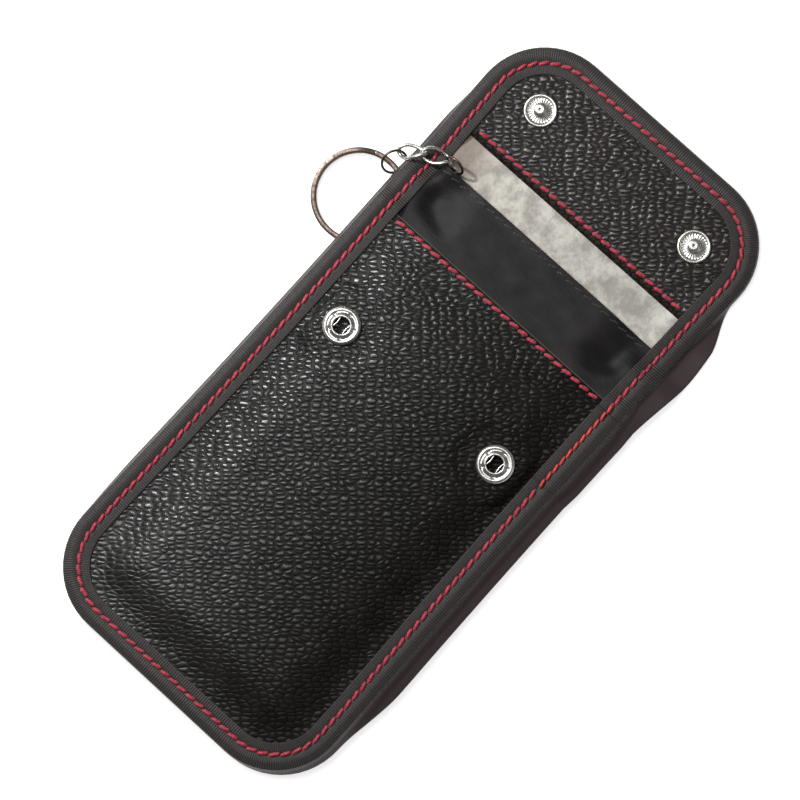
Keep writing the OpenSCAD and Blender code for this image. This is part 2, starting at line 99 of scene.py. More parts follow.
def halfAt(y, inset):  # half width at an inset, with the corners as circles
    past, r = np.abs(y) - cornerY, pouch["cornerR"] - inset
    bend = -pouch["cornerR"] + np.sqrt(np.maximum(0, r * r - past * past))
    return sideHalf(y) + np.where(past <= 0, -inset, bend)


def edgeD(x, y):  # distance from the outer edge, as for a rounded box
    qx, qy = np.abs(x) - sideHalf(y) + pouch["cornerR"], np.abs(y) - cornerY
    past = np.hypot(np.maximum(qx, 0), np.maximum(qy, 0))
    return pouch["cornerR"] - past - np.minimum(np.maximum(qx, qy), 0)


def easedIn(x, y, sizes):  # 0 near the edge and 1 inside it
    return smooth((edgeD(x, y) - sizes["start"]) / sizes["reach"])


# underside of the outer leather: a lift that falls from the edge inwards, high on the body, low on the flap
def baseZ(x, y):
    d, onFlap = edgeD(x, y), smooth((y - edgeLift["easeFrom"]) / edgeLift["easeOver"])
    start, reach = mix(*edgeLift["start"], onFlap), mix(*edgeLift["reach"], onFlap)
    body = edgeLift["body"] * (1 - smooth((y - edgeLift["endFrom"]) / edgeLift["endOver"]))
    flap = edgeLift["flap"] * (1 - smooth((d - edgeLift["flapStart"]) / edgeLift["flapReach"]))
    return body * (1 - smooth((d - start) / reach)) + flap


def floorZ(x, y):  # top of the back shielding cloth: the base and the plies on it
    return baseZ(x, y) + ply["leather"] + ply["gap"] + ply["shield"]


def nearSnap(x, y, snapY):  # 1 on the flat round a press stud, 0 away from it
    away = np.hypot(np.abs(x) - snap["x"], y - snapY)
    return (1 - smooth((away - snapFlat["radius"]) / snapFlat["ease"])) * easedIn(x, y, snapFlat)


# underside of the front cloth: the floor, the room for a key, and a bell-shaped hump over the mouth ring
def plainRoof(x, y):
    across, along = (x - ringHump["x"]) / ringHump["halfWide"], (y - edge["mouth"]) / ringHump["halfLong"]
    bell = np.exp(-across ** 2 - along ** 2)
    inner = mix(room["body"], room["mouth"], smooth((y - room["easeFrom"]) / room["easeOver"]))
    return (floorZ(x, y) + ply["gap"] + ringHump["height"] * easedIn(x, y, ringHump) * bell
            + inner * easedIn(x, y, room))


socketRoof = float(plainRoof(np.array(snap["x"]), np.array(snap["socketY"])))


def roofZ(x, y):  # the same, level round each socket
    return mix(plainRoof(x, y), socketRoof, nearSnap(x, y, snap["socketY"]))


def linerTop(x, y):  # the roof and the two plies on it
    return roofZ(x, y) + ply["shield"] + ply["gap"] + ply["liner"]


# underside of the front leather: the liner's top and the front pocket's slack, which closes towards its seam
def frontZ(x, y):
    closing = 1 - smooth((y - frontGap["easeFrom"]) / frontGap["easeOver"])
    gap = ply["gap"] + frontGap["height"] * easedIn(x, y, frontGap) * closing
    return linerTop(x, y) + mix(gap, frontGap["atSnap"], nearSnap(x, y, snap["socketY"]))


def plainFacing(x, y):  # underside of the facing: the floor and a slack that opens from the facing's edge
    opening = smooth((y - edge["facing"]) / facingGap["easeOver"])
    return floorZ(x, y) + ply["gap"] + facingGap["height"] * easedIn(x, y, facingGap) * opening


studFacing = float(plainFacing(np.array(snap["x"]), np.array(snap["studY"])))


def facingZ(x, y):  # the same, level round each stud
    return mix(plainFacing(x, y), studFacing, nearSnap(x, y, snap["studY"]))


def stackT(y):  # height of the sewn plies along the edge: a step wherever a ply begins or ends
    return stack["body"] + sum(up * smooth((y - start) / stack["easeOver"]) for up, start in stack["steps"])


capDepth = 0.65
socketBase = socketRoof + capDepth + frontGap["atSnap"] + ply["leather"]
studBase = studFacing + ply["facing"]


# meshes
def flipped(points, faces):  # a closed mesh is inside out when the sum of its signed tetrahedra is negative
    quads = np.asarray(faces)
    a, b, c, d = (points[quads[:, k]] for k in range(4))
    volume = np.einsum("ij,ij->i", a, np.cross(b, c)).sum() + np.einsum("ij,ij->i", a, np.cross(c, d)).sum()
    return volume < 0


def meshPiece(name, points, faces, uv=None, values=None, extra=()):
    faces, turnRound = np.asarray(faces), flipped(points, faces)
    if turnRound:
        faces = faces[:, ::-1]
        extra = [f[::-1] for f in extra]
        uv = None if uv is None else uv[:, ::-1]
    mesh = bpy.data.meshes.new(name)
    mesh.from_pydata((points * mm).tolist(), [], faces.tolist() + [list(f) for f in extra])
    if uv is not None:
        layer = mesh.uv_layers.new(name="UVMap")
        flat = np.zeros((len(mesh.loops), 2))
        flat[:uv.reshape(-1, 2).shape[0]] = uv.reshape(-1, 2)
        layer.data.foreach_set("uv", flat.ravel())
    for key, value in (values or {}).items():
        mesh.attributes.new(name=key, type="FLOAT", domain="POINT").data.foreach_set("value", np.ravel(value))
    mesh.validate(verbose=False)
    mesh.shade_smooth()
    piece = bpy.data.objects.new(name, mesh)
    bpy.context.collection.objects.link(piece)
    return piece


def gridFaces(m, n, wrapRows=False, wrapCols=False, first=0):
    rows = np.arange(m if wrapRows else m - 1)[:, None]
    cols = np.arange(n if wrapCols else n - 1)[None, :]
    nextRow, nextCol = (rows + 1) % m, (cols + 1) % n
    corners = [rows * n + cols, rows * n + nextCol, nextRow * n + nextCol, nextRow * n + cols]
    return first + np.stack([np.broadcast_to(c, (rows.size, cols.size)) for c in corners], -1).reshape(-1, 4)


# a closed ply: each row runs across the outline, and its upper face is the lower one moved up
def sheetPiece(name, rows, cols, low, thickness, inset=None, values=None):
    inset = edge["plyInset"] if inset is None else inset
    y = np.repeat(rows[:, None], len(cols), 1)
    x = cols[None, :] * halfAt(y, inset)
    z = low(x, y)
    lower, upper = np.stack([x, y, z], -1), np.stack([x, y, z + thickness(x, y)], -1)
    m, n = y.shape
    count = m * n
    top, under = gridFaces(m, n, first=0), gridFaces(m, n, first=count)[:, ::-1]
    ring = np.concatenate([np.arange(n - 1), np.arange(m - 1) * n + n - 1,
                           (m - 1) * n + np.arange(n - 1, 0, -1), np.arange(m - 1, 0, -1) * n])
    after = np.roll(ring, -1)
    wall = np.stack([ring, ring + count, after + count, after], -1)
    points = np.concatenate([upper.reshape(-1, 3), lower.reshape(-1, 3)])
    found = {k: np.concatenate([np.ravel(f(x, y)), np.ravel(f(x, y))]) for k, f in (values or {}).items()}
    piece = meshPiece(name, points, np.concatenate([top, under, wall]), values=found)
    return piece, np.stack([x, y, z], -1)


# rings of points, all alike, joined into a tube; open ends get one cap each
def tubePiece(name, rings, closedPath=False, values=None, uv=None, capped=True):
    m, n = rings.shape[:2]
    faces = gridFaces(m, n, wrapRows=closedPath, wrapCols=True)
    caps = [] if closedPath or not capped else [list(range(n))[::-1], list(range((m - 1) * n, m * n))]
    return meshPiece(name, rings.reshape(-1, 3), faces, uv=uv, values=values, extra=caps)


# a round wire along a path: circles across the path's direction, on axes carried by projection
def sweep(path, r, sides, closedPath, squash=1.0):
    ahead = (np.roll(path, -1, 0) - np.roll(path, 1, 0)) if closedPath else np.gradient(path, axis=0)
    ahead /= np.linalg.norm(ahead, axis=1)[:, None]
    side = np.cross(ahead, [0.0, 0.0, 1.0])
    side /= np.maximum(np.linalg.norm(side, axis=1)[:, None], 1e-6)
    up = np.cross(side, ahead)
    a = np.linspace(0, 2 * np.pi, sides, endpoint=False)[None, :, None]
    return path[:, None] + r * np.cos(a) * side[:, None] + r * squash * np.sin(a) * up[:, None]


# materials
def srgb(code):  # hex colour to linear light
    c = np.array([int(code[i:i + 2], 16) for i in (1, 3, 5)]) / 255
    return (*np.where(c <= 0.04045, c / 12.92, ((c + 0.055) / 1.055) ** 2.4), 1.0)


# adds one shader node: inputs are values or links, by place or by name, and one of its outputs comes back
def add(tree, kind, inputs=(), out=0, **settings):
    made = tree.nodes.new("ShaderNode" + kind)
    for key, value in settings.items():
        setattr(made, key, value)
    for key, value in inputs.items() if isinstance(inputs, dict) else enumerate(inputs):
        if isinstance(value, bpy.types.NodeSocket):
            tree.links.new(value, made.inputs[key])
        else:
            made.inputs[key].default_value = value
    return made.outputs[out]


def newMaterial(name, **shader):
    made = bpy.data.materials.new(name)
    made.use_nodes = True
    tree = made.node_tree
    body = tree.nodes["Principled BSDF"]
    for key, value in shader.items():
        body.inputs[key].default_value = value
    return made, tree, body, add(tree, "TexCoord", out="Object")


# settings that many nodes share; a MapRange takes value, from low, from high, to low, to high
eased = dict(interpolation_type="SMOOTHSTEP")
tinted = dict(out=2, data_type="RGBA")
times = dict(operation="MULTIPLY")
grain = dict(longMm=2.5, shortMm=1.35, lift=0.3, sway=0.25, disorder=0.72)


# split leather pressed with a pebble grain and sealed: round shiny pebbles in rows, dull creases between
def pebbledLeather(name, dark, light, dullSide=0.12):
    made, tree, body, place = newMaterial(name, Roughness=0.4)
    pebble = (grain["longMm"] * mm, grain["shortMm"] * mm, 1.0)
    rows = {"Vector": place, "Rotation": (0, 0, turn), "Scale": pebble}
    rows = add(tree, "Mapping", rows, vector_type="TEXTURE")
    sway = {"Vector": rows, "Scale": grain["sway"], "Detail": 1.0}
    sway = add(tree, "TexNoise", sway, "Color", noise_dimensions="2D")
    swayed = add(tree, "VectorMath", [sway, rows], operation="ADD")
    cells = {"Vector": swayed, "Scale": 1.0, "Randomness": grain["disorder"]}
    crease = add(tree, "TexVoronoi", cells, "Distance", voronoi_dimensions="2D", feature="DISTANCE_TO_EDGE")
    middle = add(tree, "TexVoronoi", cells, "Distance", voronoi_dimensions="2D", feature="F1")
    crown = add(tree, "MapRange", [middle, 0.0, 0.75, 0.45, 0.0], **eased)
    shoulder = add(tree, "MapRange", [crease, 0.0, 0.3, 0.0, 0.55], **eased)
    dome = add(tree, "Math", [shoulder, crown], operation="ADD")
    along = add(tree, "SeparateXYZ", [place], "Y")
    patchy = add(tree, "TexNoise", {"Vector": place, "Scale": 60.0, "Detail": 2.0})
    shifted = add(tree, "Math", [along, add(tree, "Math", [patchy, 0.05], **times)], operation="ADD")
    worn = add(tree, "MapRange", [shifted, -0.065, -0.01, 0.62, 1.0], **eased)
    pressed = add(tree, "Attribute", out="Fac", attribute_name="flat")
    pressed = add(tree, "MapRange", [pressed, 0.0, 1.0, 1.0, 0.1], **eased)
    height = add(tree, "Math", [add(tree, "Math", [dome, worn], **times), pressed], **times)
    coarse = add(tree, "Bump", {"Height": height, "Distance": grain["lift"] * mm})
    fine = add(tree, "TexNoise", {"Vector": place, "Scale": 1500.0, "Detail": 3.0})
    normal = add(tree, "Bump", {"Height": fine, "Distance": 0.06 * mm, "Normal": coarse, "Strength": 0.7})
    tone = add(tree, "TexNoise", {"Vector": place, "Scale": 150.0, "Detail": 4.0, "Roughness": 0.6})
    tone = add(tree, "MapRange", [tone, 0.35, 0.7, 0.0, 1.0], **eased)
    shade = add(tree, "Mix", {0: tone, 6: srgb(dark), 7: srgb(light)}, **tinted)
    # painted shade: the creases between pebbles are darkened towards near black, where shade would fall in
    # them
    deep = add(tree, "MapRange", [crease, 0.0, 0.2, 0.85, 0.0], **eased)
    creaseShaded = add(tree, "Mix", {0: deep, 6: shade, 7: srgb("#070605")}, **tinted)
    # painted highlight: light grey is painted along the top edge marked by the cut mask, standing in for
    # light caught by that edge
    cut = add(tree, "Attribute", out="Fac", attribute_name="cut")
    edgeHighlighted = add(tree, "Mix", {0: cut, 6: creaseShaded, 7: srgb("#5c544c")}, **tinted)
    tree.links.new(edgeHighlighted, body.inputs["Base Color"])
    handled = add(tree, "SeparateXYZ", [place], "X")
    polish = add(tree, "MapRange", [handled, -0.036, 0.034, 0.62, dullSide], **eased)
    tree.links.new(add(tree, "Math", [polish, pressed], **times), body.inputs["Specular IOR Level"])
    tree.links.new(add(tree, "MapRange", [crease, 0.0, 0.25, 0.7, 0.31], **eased), body.inputs["Roughness"])
    tree.links.new(normal, body.inputs["Normal"])
    return made


# woven polyester satin: soft mottled shine, partly from the bump of slightly slack cloth and partly painted
# into its colour, threads too fine to count
def satinLining(name, dark, light):
    made, tree, body, place = newMaterial(name, Roughness=0.62, **{"Specular IOR Level": 0.3})
    drawn = add(tree, "Mapping", {"Vector": place, "Scale": (0.55, 1.5, 1.0)})
    slack = add(tree, "TexNoise", {"Vector": drawn, "Scale": 120.0, "Detail": 4.0, "Roughness": 0.55})
    weave = add(tree, "TexNoise", {"Vector": place, "Scale": 2400.0, "Detail": 2.0})
    # painted sheen: the colour is made lighter where the slack noise is high, standing in for shine on the
    # folds
    sheen = add(tree, "MapRange", [slack, 0.38, 0.66, 0.0, 1.0], **eased)
    shade = add(tree, "Mix", {0: sheen, 6: srgb(dark), 7: srgb(light)}, **tinted)
    tree.links.new(shade, body.inputs["Base Color"])
    folded = add(tree, "Bump", {"Height": slack, "Distance": 0.8 * mm, "Strength": 0.55})
    woven = add(tree, "Bump", {"Height": weave, "Distance": 0.05 * mm, "Normal": folded, "Strength": 0.7})
    tree.links.new(woven, body.inputs["Normal"])
    return made


# nickel-copper plated polyester cloth: soft grey metal, mottled lighter and darker along the same noise as
# its crinkles
def metallisedCloth(name):
    made, tree, body, place = newMaterial(name, Metallic=0.35, Roughness=0.55)
    crinkleMottle = add(tree, "TexNoise", {"Vector": place, "Scale": 190.0, "Detail": 6.0, "Roughness": 0.68})
    lighterMottle = add(tree, "MapRange", [crinkleMottle, 0.36, 0.66, 0.0, 1.0], **eased)
    base = add(tree, "Mix", {0: lighterMottle, 6: srgb("#98938b"), 7: srgb("#c4c0b8")}, **tinted)
    # browner towards the left end
    along = add(tree, "SeparateXYZ", [place], "X")
    leftEndBrown = add(tree, "MapRange", [along, -0.041, -0.022, 0.85, 0.0], **eased)
    shade = add(tree, "Mix", {0: leftEndBrown, 6: base, 7: srgb("#85756a")}, **tinted)
    tree.links.new(shade, body.inputs["Base Color"])
    crinkle = add(tree, "Bump", {"Height": crinkleMottle, "Distance": 0.4 * mm, "Strength": 0.5})
    weave = add(tree, "TexNoise", {"Vector": place, "Scale": 3000.0, "Detail": 1.0})
    woven = add(tree, "Bump", {"Height": weave, "Distance": 0.04 * mm, "Normal": crinkle, "Strength": 0.6})
    tree.links.new(woven, body.inputs["Normal"])
    return made


# woven nylon binding tape: ribs across its length, dull, with a little shine on each rib, partly painted into
# its colour
def ribbedTape(name, ribMm=0.7):
    made, tree, body, place = newMaterial(name, Roughness=0.55)
    run = add(tree, "SeparateXYZ", [add(tree, "UVMap", uv_map="UVMap")], "X")
    wave = add(tree, "Math", [add(tree, "Math", [run, 2 * math.pi / ribMm], **times), 0.0], operation="SINE")
    rib = add(tree, "MapRange", [wave, -1.0, 1.0, 0.0, 1.0], **eased)
    patchy = add(tree, "TexNoise", {"Vector": place, "Scale": 700.0, "Detail": 3.0})
    patchy = add(tree, "MapRange", [patchy, 0.2, 0.8, 0.6, 1.2])
    outer = add(tree, "Attribute", out="Fac", attribute_name="fold")
    taut = add(tree, "MapRange", [outer, 0.35, 1.0, 1.0, 0.1], **eased)
    height = add(tree, "Math", [add(tree, "Math", [rib, patchy], **times), taut], **times)
    # painted highlight and shade: each rib's crest is painted lighter and its trough darker
    shade = add(tree, "Mix", {0: rib, 6: srgb("#201c1b"), 7: srgb("#3d3735")}, **tinted)
    # painted shade: the tape's outer side, marked by the fold mask, is painted a dark mauve for the shade it
    # lies in, tinted by light off the floor
    below = add(tree, "MapRange", [outer, 0.3, 1.0, 0.0, 0.85], **eased)
    sideShade = add(tree, "Mix", {0: below, 6: shade, 7: srgb("#3b2c2f")}, **tinted)
    tree.links.new(sideShade, body.inputs["Base Color"])
    coarse = add(tree, "Bump", {"Height": height, "Distance": 0.13 * mm})
    fine = add(tree, "TexNoise", {"Vector": place, "Scale": 3200.0, "Detail": 2.0})
    woven = add(tree, "Bump", {"Height": fine, "Distance": 0.06 * mm, "Normal": coarse, "Strength": 0.7})
    tree.links.new(woven, body.inputs["Normal"])
    return made


# twisted polyester thread: bright, soft sheen, with painted shade making it slightly darker in its plies
def sewingThread(name, colour, deep):
    made, tree, body, place = newMaterial(name, Roughness=0.5, **{"Sheen Weight": 0.3})
    plies = add(tree, "TexNoise", {"Vector": place, "Scale": 1500.0, "Detail": 2.0})
    # painted light and shade: the thread colour is lighter and darker in patches along the same noise as its
    # twist bump
    lit = add(tree, "MapRange", [plies, 0.35, 0.65, 0.0, 1.0], **eased)
    shade = add(tree, "Mix", {0: lit, 6: srgb(deep), 7: srgb(colour)}, **tinted)
    tree.links.new(shade, body.inputs["Base Color"])
    twisted = add(tree, "Bump", {"Height": plies, "Distance": 0.08 * mm, "Strength": 0.8})
    tree.links.new(twisted, body.inputs["Normal"])
    return made


# nickel plating over pressed steel or drawn wire: bright, with faint handling marks
def platedMetal(name, colour, deep, roughness):
    made, tree, body, place = newMaterial(name, Metallic=1.0, Roughness=roughness)
    marks = add(tree, "TexNoise", {"Vector": place, "Scale": 900.0, "Detail": 6.0, "Roughness": 0.7})
    dulled = add(tree, "MapRange", [marks, 0.4, 0.7, 0.0, 1.0], **eased)
    shade = add(tree, "Mix", {0: dulled, 6: srgb(colour), 7: srgb(deep)}, **tinted)
    tree.links.new(shade, body.inputs["Base Color"])
    rough = add(tree, "MapRange", [marks, 0.3, 0.75, roughness, roughness * 1.7], **eased)
    tree.links.new(rough, body.inputs["Roughness"])
    scuffed = add(tree, "Bump", {"Height": marks, "Distance": 0.006 * mm, "Strength": 0.4})
    tree.links.new(scuffed, body.inputs["Normal"])
    return made


finish = dict(
    leather=pebbledLeather("pebbledSplitLeather", "#191716", "#242220"),
    facing=pebbledLeather("pebbledFacingLeather", "#241d1c", "#302826", dullSide=0.5),
    back=pebbledLeather("pebbledBackLeather", "#1d1b19", "#272522"),
    liner=satinLining("blackSatinLining", "#0f0d0e", "#1e1a1b"),
    shield=metallisedCloth("nickelPlatedShieldCloth"),
    tape=ribbedTape("ribbedNylonTape"),
    red=sewingThread("redPolyesterThread", "#d22f49", "#8f1c30"),
    orange=sewingThread("redPolyesterThreadDoubled", "#ea4038", "#b02a28"),
    black=sewingThread("blackPolyesterThread", "#191718", "#0d0c0c"),
    nickel=platedMetal("brightNickelPlating", "#dcdad5", "#b7b4ad", 0.27),
    darkNickel=platedMetal("darkNickelWire", "#7a6c63", "#4a3e37", 0.3),
    cap=platedMetal("pressedNickelCap", "#b9b9b4", "#8d8c86", 0.3),
)
print("materials made")


def dress(piece, look, body=None, nodes=(), blended=False):
    piece.data.materials.append(finish[look])
    if nodes:
        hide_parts(*nodes)
    if blended:
        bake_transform(piece)
    else:
        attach(piece, body)
    return piece


# rows and columns of the sheets: close together at the rim, even between
def evenRows(low, high, step):
    return np.linspace(low, high, max(2, int(round((high - low) / step)) + 1))


rimCols = np.array([0.96, 0.985, 1])
sheetCols = np.concatenate([-rimCols[::-1], np.linspace(-0.93, 0.93, 75), rimCols])
endRows = pouch["endY"] - np.array([1.2, 1.5, 2.1, 3.0, 4.2, 5.8, 7.8, 10.0, 12.6, 15.6, 18.6])


def bodyRows(high, step=1.3):
    return np.concatenate([-endRows, evenRows(-cornerY, high, step)])


def flapRows(low, step=1.3):
    return np.concatenate([evenRows(low, cornerY, step), endRows[::-1]])


def uneven(x, y, size, height, seed):  # sums of long sine waves in several directions
    random = np.random.default_rng(seed)
    angle, phase = random.uniform(0, math.pi, 6), random.uniform(0, 6.28, 6)
    way = random.uniform(0.6, 1.5, 6) * 2 * math.pi / size
    waves = np.sin(way * (x[..., None] * np.cos(angle) + y[..., None] * np.sin(angle)) + phase)
    return height * waves.sum(-1) / 6


def inside(x, y, start=9.0, reach=6.0):
    return smooth((edgeD(x, y) - start) / reach)


wholeRows = np.concatenate([-endRows, evenRows(-cornerY, cornerY, 1.6), endRows[::-1]])
outer, _ = sheetPiece("outerLeather", wholeRows, sheetCols, baseZ, lambda x, y: ply["leather"] + 0 * x,
                      values={"flat": lambda x, y: 0 * x, "cut": lambda x, y: 0 * x})
dress(outer, "back", nodes=("back_panel", "flap_panel"), blended=True)

backCloth, area = sheetPiece("backShieldCloth", wholeRows, sheetCols,
                             lambda x, y: baseZ(x, y) + ply["leather"] + ply["gap"],
                             lambda x, y: ply["shield"] + 0 * x)
dress(backCloth, "shield", nodes=("back_shield", "flap_shield"), blended=True)

mouthRows = bodyRows(edge["mouth"] - 0.5)
mouthRows = np.concatenate([mouthRows, edge["mouth"] - np.array([0.3, 0.0])])
frontCloth, area = sheetPiece("frontShieldCloth", mouthRows, sheetCols, roofZ,
                              lambda x, y: ply["shield"] + 0 * x)
dress(frontCloth, "shield", nodes=("front_shield", "mouth_shield"), blended=True)


def linerLow(x, y):  # on the front cloth, with small waves between the front pocket's edge and the mouth
    free = smooth((y - edge["frontTop"] - 1) / 3) * smooth((edge["mouth"] - 2.2 - y) / 2.5)
    waves = free * inside(x, y, 8, 3) * (0.18 + uneven(x, y, 9, 0.18, 5))
    return roofZ(x, y) + ply["shield"] + ply["gap"] + waves


liner, area = sheetPiece("satinLiner", mouthRows, sheetCols, linerLow, lambda x, y: ply["liner"] + 0 * x)
dress(liner, "liner", nodes=("inner_liner", "mouth_liner"), blended=True)

def socketHole(x, y):  # the leather thins to a film under each socket's flange, where the stud passes through
    away = np.hypot(np.abs(x) - snap["x"], y - snap["socketY"])
    return 0.03 + 0.97 * smooth((away - 3.4) / 1.2)


def frontLow(x, y):  # the front leather's underside, with long shallow waves away from the sockets
    waves = inside(x, y) * uneven(x, y, 46, 0.1, 2)
    return frontZ(x, y) + (1 - nearSnap(x, y, snap["socketY"])) * waves


def frontThick(x, y):  # pared towards its cut edge
    return ply["leather"] * socketHole(x, y) - 0.25 * smooth((y - edge["frontTop"] + 0.9) / 0.9)


def facingThick(x, y):  # rounded off at its edge, with a groove along the seam
    groove = 0.18 * np.exp(-((y - edge["facing"] - 2.4) / 0.7) ** 2)
    return ply["facing"] - 0.5 * (1 - smooth((y - edge["facing"] + 0.2) / 1.0)) - groove


nearTop = np.array([1.8, 1.2, 0.8, 0.4, 0.15, 0.0])
frontRows = np.concatenate([bodyRows(edge["frontTop"] - 2.4), edge["frontTop"] - nearTop])
# the cut mask marks the pocket's top edge, where the leather material paints a highlight
front, _ = sheetPiece("frontLeather", frontRows, sheetCols, frontLow, frontThick,
                      values={"flat": lambda x, y: smooth((y - edge["frontTop"] + 2.4) / 1.2) * 0.7,
                              "cut": lambda x, y: smooth((y - edge["frontTop"] + 0.45) / 0.3)})
dress(front, "leather", body="pouch_body", nodes=("front_panel",))

nearFacing = np.array([0, 0.12, 0.35, 0.8, 1.6, 2.4, 3.4])
facingRows = np.concatenate([edge["facing"] + nearFacing, flapRows(edge["facing"] + 4.6)])
facing, _ = sheetPiece("flapFacing", facingRows, sheetCols, facingZ, facingThick,
                       values={"flat": lambda x, y: 1 - smooth((y - edge["facing"] - 1.9) / 0.9),
                               "cut": lambda x, y: 0 * x})
dress(facing, "facing", body="flap", nodes=("flap_facing",))
print("leather and cloth laid")


# the outline as stations: a point on the outer edge, and the outward direction there
def corner(sx, sy, steps=15):  # a quarter circle from the side to the end
    angle = np.radians(np.linspace(0, 90, steps))
    cx = float(sideHalf(np.array(sy * cornerY))) - pouch["cornerR"]
    away = np.stack([sx * np.cos(angle), sy * np.sin(angle)], -1)
    return np.array([sx * cx, sy * cornerY]) + pouch["cornerR"] * away, away


def flatEnd(sy, step=1.0):  # straight across an end, from right to left
    c = float(sideHalf(np.array(sy * cornerY))) - pouch["cornerR"]
    x = np.linspace(c, -c, int(2 * c / step))[1:-1]
    return np.stack([x, np.full_like(x, sy * pouch["endY"])], -1), np.stack([0 * x, np.full_like(x, sy)], -1)


def outline():  # up the right side, over the flap's end, down the left side and round the lower end
    side = evenRows(-cornerY, cornerY, 1.0)
    right = (np.stack([sideHalf(side), side], -1), np.stack([np.ones_like(side), 0 * side], -1))
    left = (np.stack([-sideHalf(side), side], -1), -right[1])
    topRight, topLeft, lowRight, lowLeft = corner(1, 1), corner(-1, 1), corner(1, -1), corner(-1, -1)
    return [np.concatenate([right[k], topRight[k][1:], flatEnd(1)[k], topLeft[k][::-1], left[k][::-1][1:],
                            lowLeft[k][1:], flatEnd(-1)[k][::-1], lowRight[k][::-1][:-1]]) for k in (0, 1)]


edgeAt, edgeOut = outline()

tapeSize = dict(side=8.0, seamIn=4.8)  # width of its upper side, and the seam's distance from the edge

# how far the folded tape leans out below, in mm: more on the right, with a bulge there beside the mouth
lean = dict(left=1.0, right=3.5, bulge=2.3, bulgeY=55, bulgeLong=14, flapFrom=66, flapOver=15, endAt=-84,
            endOver=24, atEnd=0.35)


# the folded tape's cross-section at each station: out along the top, round the nose, down, back below
def tapeSection(at, out, grow):
    z, h = baseZ(at[:, 0], at[:, 1]), stackT(at[:, 1])
    g, t, e, w = ply["gap"] + grow, ply["tape"], edge["plyInset"], tapeSize["side"]
    bulge = lean["bulge"] * np.exp(-((at[:, 1] - lean["bulgeY"]) / lean["bulgeLong"]) ** 2)
    wide = lean["left"] + (at[:, 0] > 0) * (lean["right"] + bulge)
    atEnd = mix(lean["atEnd"], 1.0, smooth((at[:, 1] - lean["endAt"]) / lean["endOver"]))
    f = np.abs(out[:, 0]) * wide * (1 - smooth((at[:, 1] - lean["flapFrom"]) / lean["flapOver"])) * atEnd
    o = np.zeros_like(h)
    inward = np.array([8.0, 7.2, 6.4, 5.7, 5.2, 4.8, 4.4, 3.9, 3.2, 2.4, 1.7])
    drawn = -0.26 * np.exp(-((inward - 4.8) / 0.6) ** 2) + 0.3 * np.exp(-((inward - 2.6) / 1.1) ** 2)
    upper = [(o - d, h + g + t + lift) for d, lift in zip(inward, drawn)]
    rows = [(o - w, h + g), *upper, (o - 0.75 * e, h + g + t), (o - 0.3 * e + grow, h + g + t * 0.4),
            (o + grow, h * 0.62), (f * 0.6 + grow, h * 0.3), (f + grow, o + 0.25),
            (f * 0.7 - 0.2 * e + grow, o - g - t * 0.75), (o - e, o - g - t), (o - w, o - g - t),
            (o - w, o - g), (o - e, o - g), (f * 0.7 - 0.2 * e + grow - 0.6 * t, o - g + 0.1 * t),
            (f - t + grow, o + 0.3), (f * 0.6 - t + grow, h * 0.32), (grow - t + o, h * 0.6),
            (o - 0.35 * e - t * 0.6 + grow, h + g - t * 0.2), (o - e, h + g)]
    q = np.stack([np.stack(r, -1) for r in rows], 1)
    for _ in range(2):  # cuts each corner at a quarter and three quarters
        ahead = np.roll(q, -1, 1)
        q = np.stack([0.75 * q + 0.25 * ahead, 0.25 * q + 0.75 * ahead], 2).reshape(len(at), -1, 2)
    x = at[:, 0, None] + out[:, 0, None] * q[..., 0]
    y = at[:, 1, None] + out[:, 1, None] * q[..., 0]
    return np.stack([x, y, z[:, None] + q[..., 1]], -1), q


def tapePiece(name, at, out, grow, closedPath):
    rings, q = tapeSection(at, out, grow)
    m, n = rings.shape[:2]
    step = np.linalg.norm(np.roll(at, -1, 0) - at, axis=1)
    run = np.concatenate([[0], np.cumsum(step)])
    ribs = round(run[m] / 0.7) * 0.7 / run[m] if closedPath else 1.0
    run = run * ribs
    rows = m if closedPath else m - 1
    u0 = np.broadcast_to(run[:rows, None], (rows, n))
    u1 = np.broadcast_to(run[1:rows + 1, None], (rows, n))
    v0 = np.broadcast_to(np.arange(n)[None, :], (rows, n)) * 0.3
    uv = np.stack([np.stack([u0, v0], -1), np.stack([u0, v0 + 0.3], -1), np.stack([u1, v0 + 0.3], -1),
                   np.stack([u1, v0], -1)], 2).reshape(-1, 4, 2)
    # the fold mask marks the tape's outer side, where the tape material paints mauve shade
    side = smooth((q[..., 0] + 0.9) / 0.9) * smooth((1 - (q[..., 1] / stackT(at[:, 1])[:, None])) / 0.4)
    return tubePiece(name, rings, closedPath=closedPath, values={"fold": side}, uv=uv)


tape = tapePiece("edgeTape", edgeAt, edgeOut, 0.0, True)
dress(tape, "tape", nodes=("body_binding", "flap_binding"), blended=True)

overY = evenRows(8.0, 35.0, 0.9)
overAt = np.stack([sideHalf(overY), overY], -1)
overGrow = 0.1 + 0.35 * smooth((overY - 8) / 5) * smooth((35 - overY) / 5)
overTape = tapePiece("tapeOverlap", overAt, np.tile([1.0, 0.0], (len(overY), 1)), overGrow, False)
dress(overTape, "tape", body="pouch_body", nodes=("binding_overlap",))
print("tape folded round the edge")


# stitches: short capsules of thread, one sewn length each
stitch = dict(pitch=3.2, length=3.3, radius=0.5, slant=12.0)


